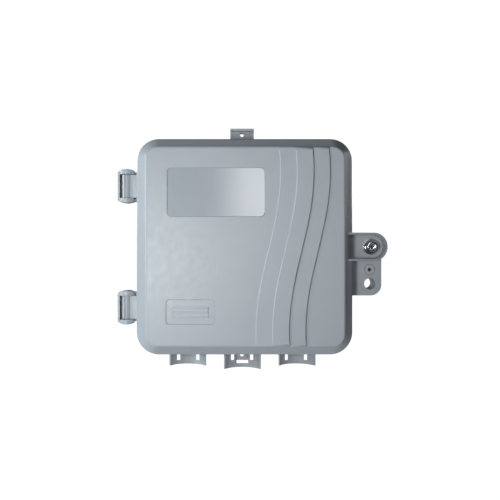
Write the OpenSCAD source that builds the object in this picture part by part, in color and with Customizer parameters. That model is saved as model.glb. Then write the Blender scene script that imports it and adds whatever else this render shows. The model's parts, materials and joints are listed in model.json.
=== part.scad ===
// Wall-mounted fiber termination box: a moulded base with a hinged cover, a
// captive security bolt, cable saddles and the splice and adapter hardware inside.
// Millimetres. X to the right, Z up, the wall is the plane Y = 0 and the cover faces -Y.

/* [Cover] */
// Width of the cover, across the hinges
cover_w = 230; // [222:1:240]
// Height of the cover
cover_h = 230; // [222:1:240]
// Distance from the wall to the cover's front face
cover_front = 82; // [80:0.5:86]
// Radius of the cover's corners in the front view
cover_corner_r = 24; // [20:1:28]
// Width of the bevelled border between the cover's face and its sides
border_w = 13; // [12:0.5:14]
// Thickness of the cover's walls
cover_wall = 3; // [2.5:0.1:3.2]
// Distance from the wall to the back edge of the cover's skirt
skirt_back = 34; // [34:0.5:36]

/* [Base] */
// Gap between the base's side walls and the inside of the cover's skirt
skirt_gap = 1.5; // [1.3:0.1:1.8]
// Distance from the wall to the base's rim
base_rim = 42; // [41:0.5:42]
// Thickness of the base's side walls
base_wall = 3; // [2.5:0.1:3.5]
// Thickness of the base's floor
base_floor = 3.5; // [3:0.1:4]

/* [Front face] */
// Width of the label recess
label_w = 101.8; // [90:0.2:104]
// Height of the label recess
label_h = 50.8; // [44:0.2:54]
// Width of the badge recess
badge_w = 50.8; // [44:0.2:54]
// Height of the badge recess
badge_h = 25.8; // [22:0.2:28]
// Depth of the label and badge recesses
relief_depth = 0.9; // [0.5:0.1:1.2]
// Height of one step of the wavy ridge
wave_rise = 1; // [0.5:0.1:1.2]
// Sideways swing of the wave
wave_swing = 12.75; // [8:0.25:14]
// Distance between the wave's neighbouring steps
wave_pitch = 17.15; // [14:0.05:18]

/* [Hinge] */
// Distance from the box's centre plane to the hinge axis
hinge_x = 130.5; // [130:0.5:132]
// Distance from the wall to the hinge axis
hinge_y = 38; // [37.5:0.5:38]
// Height of each hinge above or below the box's centre
hinge_z = 67.25; // [60:0.25:75]
// Radius of the steel hinge pins
pin_r = 2; // [1.8:0.1:2.2]
// Radius of the cover's hinge knuckles
knuckle_r = 5; // [4.6:0.1:5]
// Length of each knuckle
knuckle_len = 25.6; // [22:0.2:26]
// Radius of the base's hinge ears
ear_r = 9.1; // [8.6:0.1:9.4]
// Thickness of each hinge ear
ear_t = 5.6; // [5:0.1:6]

/* [Latch] */
// Distance from the box's centre plane to the latch bolt
latch_x = 138; // [137:0.5:139]
// Radius of the round end of the latch pocket
pocket_r = 15; // [14:0.5:15]
// Radius of the padlock hole
padlock_r = 6.1; // [5:0.1:6.5]
// Height of the padlock hole, below the bolt
padlock_drop = 40.5; // [38:0.5:42]
// Height of the seal hole, below the bolt
seal_drop = 25; // [24:0.5:26]
// Outward travel of the captive bolt
bolt_travel = 8.5; // [8.5:0.1:8.8]

/* [Cable entry] */
// Distance between neighbouring cable saddles
saddle_pitch = 63; // [60:0.5:65]
// Width of one saddle
saddle_w = 42.5; // [40:0.5:44]
// Radius of the saddle's trough
trough_r = 22.5; // [21:0.5:23]
// Radius of the bore in the rubber grommets
grommet_bore_r = 3.5; // [3:0.1:4.5]

/* [Inside] */
// Number of connector adapters
adapters = 4; // [4:1:4]
// Distance between neighbouring adapters
adapter_pitch = 26; // [22:1:28]
// Width of the splice tray
tray_w = 150; // [140:1:156]
// Height of the splice tray
tray_h = 92; // [86:1:96]
// Number of splice sleeves in the holder
sleeves = 6; // [4:1:6]

/* [Hidden] */
// The base's and cover's moulded features are solids of their own, which meet the
// shell they belong to face to face.
$fn = 64;

shell_grey = [0.62, 0.66, 0.70];
steel = [0.78, 0.78, 0.80];
dark_steel = [0.45, 0.46, 0.48];
brass = [0.80, 0.65, 0.32];
rubber = [0.10, 0.10, 0.11];
nylon = [0.88, 0.88, 0.86];

cut = 1;                                        // how far a cutting shape runs past a face
cover_depth = cover_front - skirt_back;
inner_corner_r = cover_corner_r - cover_wall;
border_slope = 50;                              // tilt of the border away from the face
lip_slope = 60;                                 // steeper part of the border, next to the face
lip_w = 1.2;
face_edge_r = 3.5;                              // round between the face and the border
base_w = cover_w - 2 * (cover_wall + skirt_gap);
base_h = cover_h - 2 * (cover_wall + skirt_gap);
base_corner_r = cover_corner_r - cover_wall - skirt_gap;
base_side = base_w / 2;
base_bottom = base_h / 2;
cover_side = cover_w / 2;

label_x = -30.5;                                // centre of the label recess
label_z = 56.7;
label_corner_r = 5;
badge_x = -57.1;                                // centre of the badge recess
badge_z = -68;
badge_corner_r = 3.5;
plate_gap = 0.1;                                // clearance round a plate in its recess
wave_first_x = 23.8;                            // mean place of the wave's first step
wave_steps = 4;                                 // two steps up from the left, then two down
wave_half_length = 166.6;
wave_shift = 5;

pin_clearance = 0.06;
web_t = 2.4;                                    // outer web that joins a hinge's two ears
web_front = 4.2;                                // how far the web stands in front of the hinge axis
dome_r = 26.5;                                  // curve of the ears' outer faces
hinge_half = knuckle_len / 2 + 0.4 + ear_t;     // half height of a hinge
pin_len = 2 * hinge_half - 1.6;

pocket_wall = 2.3;
pocket_floor = 53;                              // distance from the wall to the pocket's floor
knuckle_arm_front = 2.4;                        // how far the arm's face lies before the pin
knuckle_arm_t = 4;
cavity_left = cover_side - 6.4;                 // the pocket cuts into the cover's border
rim_y = 75.3;                                   // the pocket's rim leaves the border there
rim_slope = 12.5;                               // how fast the rim falls back from there
hasp_front = 50;                                // front and back of the cover's hasp plate
hasp_back = 46;
hasp_right = latch_x + 12.7;
hasp_bottom = -53.4;
hasp_corner_r = 11.8;
lug_front = 45.5;                               // front and back of the base's lug
lug_back = 28;
lug_left = cover_side + 1.2;
lug_top = pocket_r;
seal_r = 1.9;
shank_r = 3.1;
shank_clearance = 0.3;
shank_tip = 30.5;                               // distance from the wall to the bolt's tip
ring_r = 5.4;
ring_t = 1;
ring_y = hasp_back + 3 - bolt_travel - ring_t - 0.1; // distance from the wall to the ring's back
ring_bore_r = 6.5;
insert_front = 38.5;
insert_back = 28.4;
insert_r = 5;
washer_r = 8.6;
washer_t = 1.4;
flange_r = 8.2;
flange_t = 2.4;
hex_r = 6.4;                                    // across the corners
hex_t = 5.6;

trough_front = 17.5;                            // distance from the wall to a saddle's rims
trough_bottom = 6;                              // distance from the wall to the trough's floor
trough_t = 2.5;
saddle_end = [137, 141, 137];                   // how far each saddle reaches below the centre
tie_slot_w = 3.8;
tie_slot_x = 11.2;
tie_slot_low = 132.8;
tie_slot_high = 122;
window_w = 14.5;
port_y = 17;                                    // distance from the wall to a cable port's axis
port_r = 8.5;
grommet_flange_r = 10.4;
grommet_flange_t = 2;
screw_hole_r = 2.2;                             // holes for the wall screws
top_screw_z = 131;
bottom_screw_z = -127.6;
top_tab_w = 27.5;
top_tab_z = 137.6;
top_tab_t = 6;
top_lip_t = 2.8;
top_lip_front = 11;
bottom_tab_w = 18;
bottom_tab_t = 3;
bottom_tab_z = -133.4;

boss_h = 4;                                     // floor bosses for the hardware's screws
boss_r = 4;
pilot_r = 1.5;                                  // screw holes in the bosses
seat_y = base_floor + boss_h;                   // distance from the wall to the bosses' faces

shelf_z = -44;                                  // top of the adapter shelf
shelf_t = 1.5;
shelf_front = 34;
adapter_y = 24;
adapter_w = 12.6;
adapter_d = 9.2;
adapter_len = 27;
adapter_wall = 1.3;
adapter_z = -46;                                // middle of an adapter
cap_flange_t = 3;
cap_plug_t = 8;

tray_z = -4;                                    // bottom edge of the tray
tray_back = 34;                                 // distance from the wall to the tray's floor
tray_t = 2;
tray_rim = 11;
tray_corner_r = 14;
tray_axis_y = 38;
tray_axis_z = tray_z + tray_h + 5;
rod_r = 1.5;
tray_arm_x = 44;                                // place of the tray's hinge arms
lid_t = 1.6;
spool_z = 42;
spool_r = 36;
holder_z = 30;
sleeve_r = 1.6;
sleeve_pitch = 5.4;
sleeve_len = 42;
clamp_z = -88;
clamp_boss_x = 14;                              // from the middle of a clamp bar to its screws
clamp_seat = port_y - 5.5;                      // distance from the wall to a clamp bar's feet
bracket_boss_x = 58;
bracket_boss_z = -62;
spool_boss_x = 17;
mount_boss_x = 56;
mount_boss_z = 101;
ground_x = 82;
ground_z = -52;

// ---- helpers ----------------------------------------------------------------

// Extrudes a front-view outline from back to front, both distances from the wall
module facing(back, front) {
    translate([0, -back, 0])
        rotate([90, 0, 0])
            linear_extrude(front - back)
                children();
}

// A round rod along Y between two distances from the wall
module rod_y(x, z, r, back, front) {
    translate([x, -back, z])
        rotate([90, 0, 0])
            cylinder(h = front - back, r = r);
}

// Rectangle with round corners, centred
module round_rect(w, h, r) {
    square([w - 2 * r, h], center = true);
    square([w, h - 2 * r], center = true);
    for (sx = [-1, 1], sy = [-1, 1]) {
        translate([sx * (w / 2 - r), sy * (h / 2 - r)])
            circle(r = r);
    }
}

// Section of the cover's border, as [distance in from the side, distance back from the
// face]: a round off the side, a slope, a steeper lip and a round onto the face
function border_section() =
    let (
        lip_in = border_w - face_edge_r * sin(lip_slope),
        lip_back = face_edge_r * (1 - cos(lip_slope)),
        slope_in = lip_in - lip_w,
        slope_back = lip_back + lip_w * tan(lip_slope),
        side_r = side_round(slope_in),
        side_in = side_r * (1 - sin(border_slope)),
        side_back = slope_back + (slope_in - side_in) * tan(border_slope)
    )
    concat(
        [for (tilt = [90 : -8 : border_slope])
            [side_r * (1 - sin(tilt)), side_back + side_r * (cos(border_slope) - cos(tilt))]],
        [[slope_in, slope_back]],
        [for (tilt = [lip_slope : -12 : 0])
            [border_w - face_edge_r * sin(tilt), face_edge_r * (1 - cos(tilt))]]
    );

// Radius of the round between the side and the slope, for a slope that ends at slope_in
function side_round(slope_in) = 0.95 * slope_in;

// Half of a soft block in section, from its middle line to its side: r is the corner radius
module edge_section(r, depth) {
    border = [for (point = border_section()) [r - point[0], depth - point[1]]];
    polygon(concat([[0, 0], [r, 0]], border, [[0, depth]]));
}

// Block with round corners and a bevelled front edge, from back to back + depth
module soft_block(w, h, r, depth, back) {
    translate([0, -back, 0])
        rotate([90, 0, 0]) {
            for (turn = [0 : 3]) {
                across = turn % 2 == 0 ? w : h;
                along = turn % 2 == 0 ? h : w;
                rotate([0, 0, 90 * turn]) {
                    translate([across / 2 - r, along / 2 - r, 0])
                        rotate_extrude(angle = 90)
                            edge_section(r, depth);
                    translate([across / 2 - r, along / 2 - r, 0])
                        rotate([90, 0, 0])
                            linear_extrude(along - 2 * r)
                                edge_section(r, depth);
                }
            }
            translate([r - w / 2, r - h / 2, 0])
                cube([w - 2 * r, h - 2 * r, depth]);
        }
}

// Hexagonal prism along Y, r across the corners
module hex_y(x, z, r, back, front) {
    translate([x, -back, z])
        rotate([90, 0, 0])
            cylinder(h = front - back, r = r, $fn = 6);
}

// Pan-head screw along Y: its head stands on the distance seat from the wall
module pan_screw(x, z, seat, length) {
    difference() {
        union() {
            rod_y(x, z, 3.1, seat, seat + 2);
            rod_y(x, z, 1.5, seat - length, seat + 1);
        }
        translate([x - 2, -seat - 2 - cut, z - 0.4])
            cube([4, 1.8, 0.8]);
        translate([x - 0.4, -seat - 2 - cut, z - 2])
            cube([0.8, 1.8, 4]);
    }
}

// ---- cover ------------------------------------------------------------------

function wave_x(step, z) =
    wave_first_x + step * wave_pitch + wave_swing * sin(180 * (z + wave_shift) / wave_half_length);

// Raised strip between two of the wave's lines: its ends run into the border's lip
module wave_tier(first, last, rise) {
    points = 26;
    heights = [for (i = [0 : points]) (cover_h / 2) * (2 * i / points - 1)];
    left = [for (z = heights) [wave_x(first, z), z]];
    right = [for (i = [points : -1 : 0]) [wave_x(last, heights[i]), heights[i]]];
    tuck = 0.62 * rise;
    root = face_edge_r * (1 - cos(lip_slope));
    intersection() {
        facing(cover_front - root, cover_front + rise)
            polygon(concat(left, right));
        soft_block(cover_w - 2 * tuck, cover_h - 2 * tuck, cover_corner_r - tuck,
            cover_depth + rise, skirt_back);
    }
}

module cover_block() {
    soft_block(cover_w, cover_h, cover_corner_r, cover_depth, skirt_back);
}

module cover_hollow() {
    soft_block(cover_w - 2 * cover_wall, cover_h - 2 * cover_wall, inner_corner_r,
        cover_depth - cover_wall + cut, skirt_back - cut);
}

// Room for the bolt head and its wrench
module latch_cavity() {
    facing(pocket_floor, cover_front + cut)
        latch_pocket_outline(pocket_r - pocket_wall, cavity_left);
}

// Frame inside the cover that carries the gasket in front of the base's rim
module gasket_frame() {
    play = 0.05;
    color(shell_grey)
        facing(base_rim + 3, base_rim + 5)
            difference() {
                round_rect(cover_w - 2 * cover_wall - 2 * play, cover_h - 2 * cover_wall - 2 * play,
                    inner_corner_r - play);
                round_rect(cover_w - 24, cover_h - 24, inner_corner_r - 9);
            }
}

module latch_pocket_outline(r, left) {
    translate([latch_x, 0])
        circle(r = r);
    translate([left, -r])
        square([latch_x - left, 2 * r]);
}

// Pocket for the bolt: its front edge falls back towards the round end
module latch_pocket() {
    color(shell_grey)
        difference() {
            facing(hasp_back, cover_front - 2)
                latch_pocket_outline(pocket_r, cover_side - 12);
            latch_cavity();
            translate([cavity_left, -rim_y, -25])
                rotate([0, 0, rim_slope])
                    translate([-20, -30, 0])
                        cube([90, 30, 50]);
            cover_block();
            rod_y(latch_x, 0, shank_r + 0.35, hasp_back - cut, pocket_floor + cut);
            rod_y(latch_x, 0, ring_bore_r, hasp_back - cut, hasp_back + 3);
        }
}

// Plate below the pocket with the seal hole and the padlock hole
module hasp_plate() {
    corner_x = hasp_right - hasp_corner_r;
    corner_z = hasp_bottom + hasp_corner_r;
    color(shell_grey)
        difference() {
            facing(hasp_back, hasp_front)
                difference() {
                    union() {
                        translate([cover_side, corner_z])
                            square([hasp_right - cover_side, -corner_z]);
                        translate([cover_side, hasp_bottom])
                            square([corner_x - cover_side, hasp_corner_r + 1]);
                        translate([corner_x, corner_z])
                            circle(r = hasp_corner_r);
                    }
                    latch_pocket_outline(pocket_r, cover_side - 12);
                }
            rod_y(latch_x, -padlock_drop, padlock_r, hasp_back - cut, hasp_front + cut);
            rod_y(latch_x, -seal_drop, seal_r, hasp_back - cut, hasp_front + cut);
            facing(hasp_front - 0.5, hasp_front + cut)
                translate([latch_x, -seal_drop])
                    difference() {
                        circle(r = padlock_r);
                        circle(r = padlock_r - 0.7);
                    }
        }
}

// Hinge knuckle and the arm that joins it to the cover's side
module cover_knuckle(z) {
    color(shell_grey)
        translate([-hinge_x, -hinge_y, z - knuckle_len / 2])
            difference() {
                union() {
                    cylinder(h = knuckle_len, r = knuckle_r);
                    translate([0, -knuckle_arm_front, 0])
                        cube([hinge_x - cover_side, knuckle_arm_t, knuckle_len]);
                }
                translate([0, 0, -cut])
                    cylinder(h = knuckle_len + 2 * cut, r = pin_r + pin_clearance);
                translate([-1.3, -knuckle_r - 0.3, -cut])
                    cube([0.7, 0.9, knuckle_len + 2 * cut]);
            }
}

module knuckle_upper() {
    cover_knuckle(hinge_z);
}

module knuckle_lower() {
    cover_knuckle(-hinge_z);
}

module cover_shell() {
    color(shell_grey)
        difference() {
            union() {
                difference() {
                    union() {
                        cover_block();
                        wave_tier(0, wave_steps - 1, wave_rise);
                        wave_tier(1, wave_steps - 2, 2 * wave_rise);
                    }
                    cover_hollow();
                }
                // wall behind the latch pocket
                intersection() {
                    cover_block();
                    translate([cavity_left - cover_wall, -rim_y, -pocket_r])
                        cube([2 * cover_wall, rim_y - pocket_floor + cover_wall, 2 * pocket_r]);
                }
            }
            latch_cavity();
            facing(cover_front - relief_depth, cover_front + cut) {
                translate([label_x, label_z])
                    round_rect(label_w, label_h, label_corner_r);
                translate([badge_x, badge_z])
                    round_rect(badge_w, badge_h, badge_corner_r);
            }
        }
}

module cover_gasket() {
    color(rubber)
        facing(base_rim + 0.2, base_rim + 3)
            difference() {
                round_rect(cover_w - 8, cover_h - 8, inner_corner_r - 1);
                round_rect(cover_w - 21, cover_h - 21, inner_corner_r - 7.5);
            }
}

module label_plate() {
    color([0.68, 0.72, 0.76])
        facing(cover_front - relief_depth, cover_front - 0.4)
            translate([label_x, label_z])
                round_rect(label_w - 2 * plate_gap, label_h - 2 * plate_gap, label_corner_r - plate_gap);
}

// Blank plate with plain raised bars
module badge_plate() {
    bars = 3;
    color([0.66, 0.70, 0.74]) {
        facing(cover_front - relief_depth, cover_front - 0.5)
            translate([badge_x, badge_z])
                round_rect(badge_w - 2 * plate_gap, badge_h - 2 * plate_gap, badge_corner_r - plate_gap);
        for (i = [0 : bars - 1]) {
            facing(cover_front - 0.7, cover_front - 0.1)
                translate([badge_x, badge_z + 5 * (i - 1)])
                    round_rect(badge_w - 14, 1.6, 0.7);
        }
    }
}

// ---- base -------------------------------------------------------------------

// Two round ears with domed ends, the web outside them and the arms that carry them
module base_hinge(z) {
    arm_t = 3.4;
    ear_low = hinge_half - ear_t;
    plate_back = 27;
    color(shell_grey)
        difference() {
            union() {
                for (side = [-1, 1]) {
                    intersection() {
                        translate([-hinge_x, -hinge_y, z + (side > 0 ? ear_low : -hinge_half)])
                            cylinder(h = ear_t, r = ear_r);
                        rod_y(1.5 - hinge_x, z + side * (hinge_half - 0.3 - dome_r), dome_r, 10, 60);
                    }
                    translate([-hinge_x - 2, 0.6 - skirt_back, z + (side > 0 ? ear_low : -ear_low - arm_t)])
                        cube([hinge_x + 2 - base_side, skirt_back - 0.6 - plate_back + 3, arm_t]);
                }
                translate([-hinge_x - ear_r, -hinge_y - web_front, z - hinge_half + 3])
                    cube([web_t, hinge_y + web_front - plate_back, 2 * hinge_half - 6]);
                translate([-hinge_x - ear_r, -plate_back - 4, z - ear_low - arm_t])
                    cube([ear_r + hinge_x - base_side, 4, 2 * (ear_low + arm_t)]);
            }
            translate([-hinge_x, -hinge_y, z - hinge_half - cut])
                cylinder(h = 2 * (hinge_half + cut), r = pin_r + 0.02);
        }
}

module hinge_bracket_upper() {
    base_hinge(hinge_z);
}

module hinge_bracket_lower() {
    base_hinge(-hinge_z);
}

module lug_outline(inset) {
    corner_x = hasp_right - hasp_corner_r;
    corner_z = hasp_bottom + hasp_corner_r;
    translate([lug_left + inset, corner_z])
        square([hasp_right - lug_left - 2 * inset, -corner_z]);
    translate([lug_left + inset, hasp_bottom + inset])
        square([corner_x - lug_left - inset, hasp_corner_r]);
    translate([corner_x, corner_z])
        circle(r = hasp_corner_r - inset);
    translate([lug_left + inset, -1])
        square([latch_x - lug_left - inset, lug_top - inset + 1]);
    translate([latch_x, 0])
        intersection() {
            circle(r = lug_top - inset);
            translate([-lug_top, -lug_top + 2])
                square([lug_top + hasp_right - latch_x - inset, 2 * lug_top]);
        }
}

// Lug behind the cover's hasp plate, hollow from the back, with a neck to the base
module latch_lug() {
    neck_front = 0.7 - skirt_back;
    color(shell_grey)
        difference() {
            union() {
                difference() {
                    facing(lug_back, lug_front)
                        lug_outline(0);
                    facing(lug_back - cut, lug_front - 3)
                        lug_outline(2.6);
                }
                rod_y(latch_x, 0, ring_bore_r + 2.5, lug_back, lug_front);
                rod_y(latch_x, -padlock_drop, padlock_r + 2.4, lug_back, lug_front);
                rod_y(latch_x, -seal_drop, seal_r + 2.6, lug_back, lug_front);
                translate([base_side, neck_front, hasp_bottom + 8])
                    cube([lug_left - base_side + 2, 4 - lug_back - neck_front, lug_top - hasp_bottom - 12]);
            }
            rod_y(latch_x, 0, ring_bore_r, insert_front, lug_front + cut);
            rod_y(latch_x, 0, insert_r, insert_back - cut, insert_front + cut);
            rod_y(latch_x, -padlock_drop, padlock_r, lug_back - cut, lug_front + cut);
            rod_y(latch_x, -seal_drop, seal_r, lug_back + 3, lug_front + cut);
        }
}

// Trough that carries a cable below the base, on two ribs, with slots for a cable tie
module saddle(i) {
    x = i * saddle_pitch;
    end = saddle_end[i + 1];
    centre_y = trough_bottom + trough_r;
    length = end - base_bottom;
    rib_t = 2.5;
    color(shell_grey)
        difference() {
            union() {
                translate([x, -centre_y, -end])
                    linear_extrude(length)
                        intersection() {
                            difference() {
                                circle(r = trough_r + trough_t);
                                circle(r = trough_r);
                            }
                            translate([-saddle_w / 2, centre_y - trough_front])
                                square([saddle_w, trough_front]);
                        }
                for (side = [-1, 1]) {
                    translate([x + side * 16 - rib_t / 2, -10.5, -end + 3])
                        cube([rib_t, 10.5, length - 3]);
                }
            }
            for (side = [-1, 1]) {
                translate([x + side * tie_slot_x - tie_slot_w / 2, -trough_front, -tie_slot_low])
                    cube([tie_slot_w, trough_front + cut, tie_slot_low - tie_slot_high]);
            }
            if (i == 0) {
                // window in front of the lower wall screw
                translate([x - window_w / 2, -trough_front, -end + 4.1])
                    cube([window_w, trough_front + cut, end - 118]);
            }
        }
}

module saddle_left() {
    saddle(-1);
}

module saddle_middle() {
    saddle(0);
}

module saddle_right() {
    saddle(1);
}

// Tab for the upper wall screw, with its lip
module top_tab() {
    color(shell_grey)
        difference() {
            union() {
                translate([-top_tab_w / 2, -top_tab_t, base_bottom])
                    cube([top_tab_w, top_tab_t, top_tab_z - base_bottom]);
                translate([-top_tab_w / 2, -top_lip_front, top_tab_z - top_lip_t])
                    cube([top_tab_w, top_lip_front, top_lip_t]);
            }
            rod_y(0, top_screw_z, screw_hole_r, -cut, top_tab_t + cut);
        }
}

// Tab for the lower wall screw, behind the middle saddle
module bottom_tab() {
    color(shell_grey)
        difference() {
            translate([-bottom_tab_w / 2, -bottom_tab_t, bottom_tab_z])
                cube([bottom_tab_w, bottom_tab_t, -bottom_tab_z - base_bottom]);
            rod_y(0, bottom_screw_z, screw_hole_r, -cut, bottom_tab_t + cut);
        }
}

// Places of the floor bosses: each entry is [x, z]
floor_bosses = [
    for (side = [-1, 1]) [side * bracket_boss_x, bracket_boss_z],
    for (side = [-1, 1]) [side * spool_boss_x, spool_z],
    for (side = [-1, 1]) [side * mount_boss_x, mount_boss_z]
];
clamp_bosses = [for (i = [-1 : 1], side = [-1, 1]) i * saddle_pitch + side * clamp_boss_x];

// Open tray with the cable ports in its lower wall
module base_shell() {
    color(shell_grey)
        difference() {
            union() {
                difference() {
                    facing(0, base_rim)
                        round_rect(base_w, base_h, base_corner_r);
                    facing(base_floor, base_rim + cut)
                        round_rect(base_w - 2 * base_wall, base_h - 2 * base_wall, base_corner_r - base_wall);
                }
                for (place = floor_bosses) {
                    rod_y(place[0], place[1], boss_r, base_floor - 1, seat_y);
                }
                for (x = clamp_bosses) {
                    rod_y(x, clamp_z, boss_r + 0.2, base_floor - 1, clamp_seat);
                }
            }
            for (i = [-1 : 1]) {
                translate([i * saddle_pitch, -port_y, -base_bottom - cut])
                    cylinder(h = base_wall + 2 * cut, r = port_r);
            }
            for (place = floor_bosses) {
                rod_y(place[0], place[1], pilot_r, pilot_r, seat_y + cut);
            }
            for (x = clamp_bosses) {
                rod_y(x, clamp_z, pilot_r, pilot_r, port_y);
            }
            rod_y(ground_x, ground_z, 3, 1.5, base_floor + cut);
        }
}

module hinge_pin(z) {
    color(steel)
        translate([-hinge_x, -hinge_y, z - pin_len / 2])
            cylinder(h = pin_len, r = pin_r);
}

module hinge_pin_upper() {
    hinge_pin(hinge_z);
}

module hinge_pin_lower() {
    hinge_pin(-hinge_z);
}

// ---- latch hardware ---------------------------------------------------------

module bolt_washer() {
    color(steel)
        difference() {
            rod_y(latch_x, 0, washer_r, pocket_floor, pocket_floor + washer_t);
            rod_y(latch_x, 0, shank_r + 0.05, pocket_floor - cut, pocket_floor + washer_t + cut);
        }
}

// Hex bolt with a flange and a dished head
module security_bolt() {
    flange_back = pocket_floor + washer_t + 0.02;
    head_back = flange_back + flange_t;
    head_front = head_back + hex_t;
    color(steel)
        difference() {
            union() {
                rod_y(latch_x, 0, flange_r, flange_back, head_back - 1);
                rod_y(latch_x, 0, flange_r - 1.2, head_back - 1.1, head_back);
                intersection() {
                    hex_y(latch_x, 0, hex_r, head_back - 1, head_front);
                    translate([latch_x, -head_back + 1, 0])
                        rotate([90, 0, 0])
                            cylinder(h = hex_t + 1, r1 = hex_r + 4, r2 = hex_r - 1);
                }
                rod_y(latch_x, 0, shank_r, shank_tip + 0.8, flange_back + 1);
                translate([latch_x, -shank_tip, 0])
                    rotate([90, 0, 0])
                        cylinder(h = 0.9, r1 = shank_r - 0.8, r2 = shank_r);
            }
            rod_y(latch_x, 0, 3.4, head_front - 1.4, head_front + cut);
            difference() {
                rod_y(latch_x, 0, shank_r + 1, ring_y - 0.02, ring_y + ring_t + 0.02);
                rod_y(latch_x, 0, 2.5, ring_y - cut, ring_y + ring_t + cut);
            }
        }
}

module retaining_ring() {
    color(dark_steel)
        difference() {
            rod_y(latch_x, 0, ring_r, ring_y, ring_y + ring_t);
            rod_y(latch_x, 0, 2.52, ring_y - cut, ring_y + ring_t + cut);
        }
}

module threaded_insert() {
    color(brass)
        difference() {
            rod_y(latch_x, 0, insert_r - 0.02, insert_back, insert_front - 0.02);
            rod_y(latch_x, 0, shank_r + shank_clearance, insert_back - cut, insert_front + cut);
        }
}

// ---- cable entry ------------------------------------------------------------

module grommet(i) {
    color(rubber)
        translate([i * saddle_pitch, -port_y, -base_bottom])
            difference() {
                union() {
                    translate([0, 0, -grommet_flange_t])
                        cylinder(h = grommet_flange_t, r = grommet_flange_r);
                    translate([0, 0, -0.5])
                        cylinder(h = base_wall + 1, r = port_r - 0.05);
                    translate([0, 0, base_wall])
                        cylinder(h = grommet_flange_t, r = grommet_flange_r);
                    translate([0, 0, base_wall + grommet_flange_t - 0.5])
                        cylinder(h = 5, r1 = port_r, r2 = grommet_bore_r + 1.4);
                }
                translate([0, 0, -grommet_flange_t - cut])
                    cylinder(h = 20, r = grommet_bore_r);
            }
}

module grommet_left() {
    grommet(-1);
}

module grommet_middle() {
    grommet(0);
}

module grommet_right() {
    grommet(1);
}

// Bar that holds a cable down on its two posts
module clamp_bar(i) {
    color(nylon)
        translate([i * saddle_pitch, 0, clamp_z])
            difference() {
                translate([-19, -clamp_seat - 11, -5])
                    cube([38, 11, 10]);
                translate([0, -clamp_seat, -5 - cut])
                    cylinder(h = 12, r = 7);
                for (side = [-1, 1]) {
                    translate([side * clamp_boss_x - 5.1, -clamp_seat - 11 - cut, -5 - cut])
                        cube([10.2, 8 + cut, 12]);
                    rod_y(side * clamp_boss_x, 0, 1.7, 0, 40);
                }
            }
}

module clamp_bar_left() {
    clamp_bar(-1);
}

module clamp_bar_middle() {
    clamp_bar(0);
}

module clamp_bar_right() {
    clamp_bar(1);
}

module clamp_screws() {
    color(steel)
        for (x = clamp_bosses) {
            pan_screw(x, clamp_z, clamp_seat + 3, 10);
        }
}

// ---- adapters ---------------------------------------------------------------

function adapter_x(i) = (i - (adapters + 1) / 2) * adapter_pitch;

module adapter_bracket() {
    color(steel)
        difference() {
            union() {
                translate([-66, -shelf_front, shelf_z - shelf_t])
                    cube([132, shelf_front - seat_y, shelf_t]);
                translate([-66, -seat_y - shelf_t, shelf_z - 26])
                    cube([132, shelf_t, 26]);
                translate([-66, -shelf_front, shelf_z - shelf_t - 5])
                    cube([132, shelf_t, 6]);
            }
            for (i = [1 : adapters]) {
                translate([adapter_x(i) - adapter_w / 2 - 0.1, -adapter_y - adapter_d / 2 - 0.1, shelf_z - 5])
                    cube([adapter_w + 0.2, adapter_d + 0.2, 10]);
            }
            for (side = [-1, 1]) {
                rod_y(side * bracket_boss_x, bracket_boss_z, 1.7, 0, 20);
            }
        }
}

module bracket_screws() {
    color(steel)
        for (side = [-1, 1]) {
            pan_screw(side * bracket_boss_x, bracket_boss_z, seat_y + shelf_t, 7);
        }
}

// Push-pull connector adapter with a flange that rests on the shelf
module adapter(i) {
    color([0.12, 0.42, 0.26])
        translate([adapter_x(i), -adapter_y, 0])
            difference() {
                union() {
                    translate([-adapter_w / 2, -adapter_d / 2, adapter_z - adapter_len / 2])
                        cube([adapter_w, adapter_d, adapter_len]);
                    translate([-10.5, -adapter_d / 2, shelf_z])
                        cube([21, adapter_d, 2]);
                }
                for (side = [-1, 1]) {
                    low = side > 0 ? adapter_z + 1.5 : adapter_z - adapter_len / 2 - cut;
                    translate([adapter_wall - adapter_w / 2, adapter_wall - adapter_d / 2, low])
                        cube([adapter_w - 2 * adapter_wall, adapter_d - 2 * adapter_wall,
                            adapter_len / 2 - 1.5 + cut]);
                    rod_y(side * 8.4, shelf_z + 1, 0.6, -20, 20);
                }
                translate([0, 0, adapter_z - 5])
                    cylinder(h = 10, r = 1.25);
            }
}

module adapter_1() {
    adapter(1);
}

module adapter_2() {
    adapter(2);
}

module adapter_3() {
    adapter(3);
}

module adapter_4() {
    adapter(4);
}

// Plug that keeps dust out of an adapter's lower end
module dust_cap(i) {
    low = adapter_z - adapter_len / 2;
    plug_inset = adapter_wall + 0.3;
    color([0.80, 0.16, 0.12])
        translate([adapter_x(i), -adapter_y, low]) {
            translate([plug_inset - adapter_w / 2, plug_inset - adapter_d / 2, -1])
                cube([adapter_w - 2 * plug_inset, adapter_d - 2 * plug_inset, cap_plug_t + 1]);
            translate([-adapter_w / 2, -adapter_d / 2, -cap_flange_t - 0.3])
                cube([adapter_w, adapter_d, cap_flange_t]);
        }
}

module dust_cap_1() {
    dust_cap(1);
}

module dust_cap_2() {
    dust_cap(2);
}

module dust_cap_3() {
    dust_cap(3);
}

module dust_cap_4() {
    dust_cap(4);
}

// ---- slack storage and splice tray --------------------------------------------

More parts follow.
